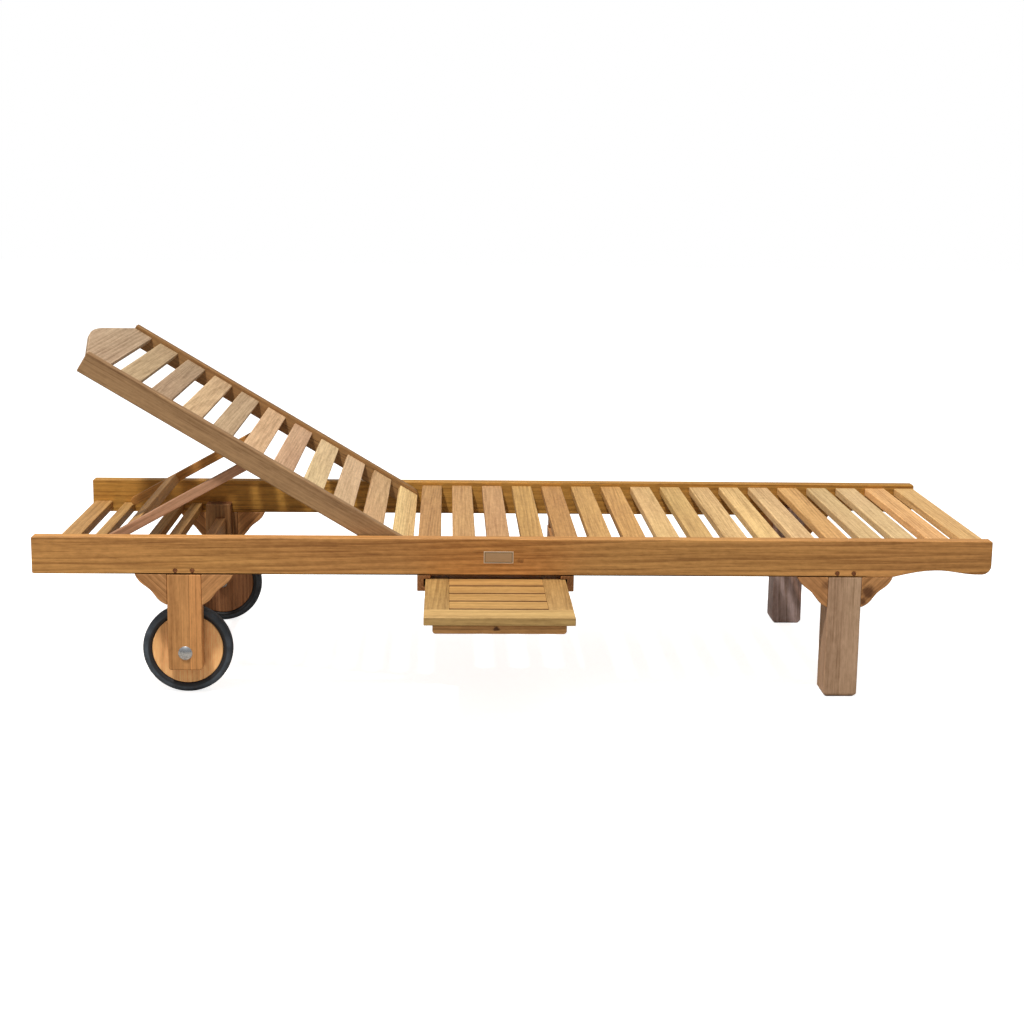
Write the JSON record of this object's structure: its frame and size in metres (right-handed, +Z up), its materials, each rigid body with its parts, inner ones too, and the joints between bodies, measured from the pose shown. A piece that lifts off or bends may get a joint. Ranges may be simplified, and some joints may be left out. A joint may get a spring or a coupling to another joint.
{
  "type": "sun lounger",
  "caption": "Slatted wooden sun lounger: hinged backrest with a folding prop frame, two foot legs, two wheels and a slide-out side tray.",
  "frame": {"origin": "on the floor under the middle of the outline, with the backrest raised and the tray pulled out", "axes": "+X from the head end to the foot end, +Y across from the tray side to the far side, +Z up"},
  "size_m": [2, 0.9605, 0.7347],
  "materials": {
    "teak": "oiled teak, honey brown",
    "teak_pale": "oiled teak, pale honey",
    "teak_grey": "teak, greyer brown",
    "steel": "stainless steel",
    "plate": "satin metal plate, blank",
    "rubber": "black rubber"
  },
  "bodies": {
    "frame": {"near_rail": "teak", "far_rail": "teak", "seat_slat_1": "teak_pale", "seat_slat_2": "teak_pale", "seat_slat_3": "teak_pale", "seat_slat_4": "teak_pale", "seat_slat_5": "teak_pale", "seat_slat_6": "teak_pale", "seat_slat_7": "teak_pale", "seat_slat_8": "teak_pale", "seat_slat_9": "teak_pale", "seat_slat_10": "teak_pale", "seat_slat_11": "teak_pale", "seat_slat_12": "teak_pale", "seat_slat_13": "teak_pale", "seat_slat_14": "teak_pale", "seat_slat_15": "teak_pale", "seat_slat_16": "teak_pale", "seat_slat_17": "teak_pale", "head_slat": "teak_pale", "prop_battens": "teak_pale", "near_foot_leg": "teak_grey", "far_foot_leg": "teak_grey", "near_wheel_leg": "teak", "far_wheel_leg": "teak", "corner_braces": "teak", "foot_stretcher": "teak_grey", "wheel_stretcher": "teak_grey", "rail_plugs": "teak_grey", "name_plate": "plate", "hinge_pins": "steel", "axle_bolts": "steel", "tray_guides": "teak_grey", "guide_hangers": "teak_grey"},
    "backrest": {"near_back_rail": "teak", "far_back_rail": "teak", "back_slat_1": "teak_pale", "back_slat_2": "teak_pale", "back_slat_3": "teak_pale", "back_slat_4": "teak_pale", "back_slat_5": "teak_pale", "back_slat_6": "teak_pale", "back_slat_7": "teak_pale", "back_slat_8": "teak_pale", "back_slat_9": "teak_pale", "back_slat_10": "teak_pale", "headboard": "teak_grey", "prop_pins": "steel"},
    "prop": {"near_prop_arm": "teak", "far_prop_arm": "teak", "prop_crossbar": "teak_grey"},
    "near_wheel": {"near_wheel_disc": "teak_pale", "near_tyre": "rubber"},
    "far_wheel": {"far_wheel_disc": "teak_pale", "far_tyre": "rubber"},
    "tray": {"tray_front_rail": "teak_pale", "tray_rear_rail": "teak_pale", "tray_stiles": "teak_pale", "tray_slats": "teak_pale", "tray_grip": "teak"}
  },
  "joints": [
    {"name": "recline", "type": "hinge", "parent": "frame", "child": "backrest", "pos_m": [-0.2476, 0.14725, 0.313], "axis": [0, 1, 0], "range_deg": [-30.8, 19.2]},
    {"name": "prop_fold", "type": "hinge", "parent": "backrest", "child": "prop", "pos_m": [-0.55765, 0.14725, 0.48619], "axis": [0, 1, 0], "range_deg": [-42, 60]},
    {"name": "near_wheel_spin", "type": "hinge", "parent": "frame", "child": "near_wheel", "pos_m": [-0.69, -0.13525, 0.094], "axis": [0, 1, 0], "continuous": true},
    {"name": "far_wheel_spin", "type": "hinge", "parent": "frame", "child": "far_wheel", "pos_m": [-0.69, 0.42975, 0.094], "axis": [0, 1, 0], "continuous": true},
    {"name": "tray_slide", "type": "slide", "parent": "frame", "child": "tray", "axis": [0, 1, 0], "range_m": [0, 0.3]}
  ],
  "couplings": [
    {"joint": "prop_fold", "follows": "recline", "ratio": -1.95}
  ]
}
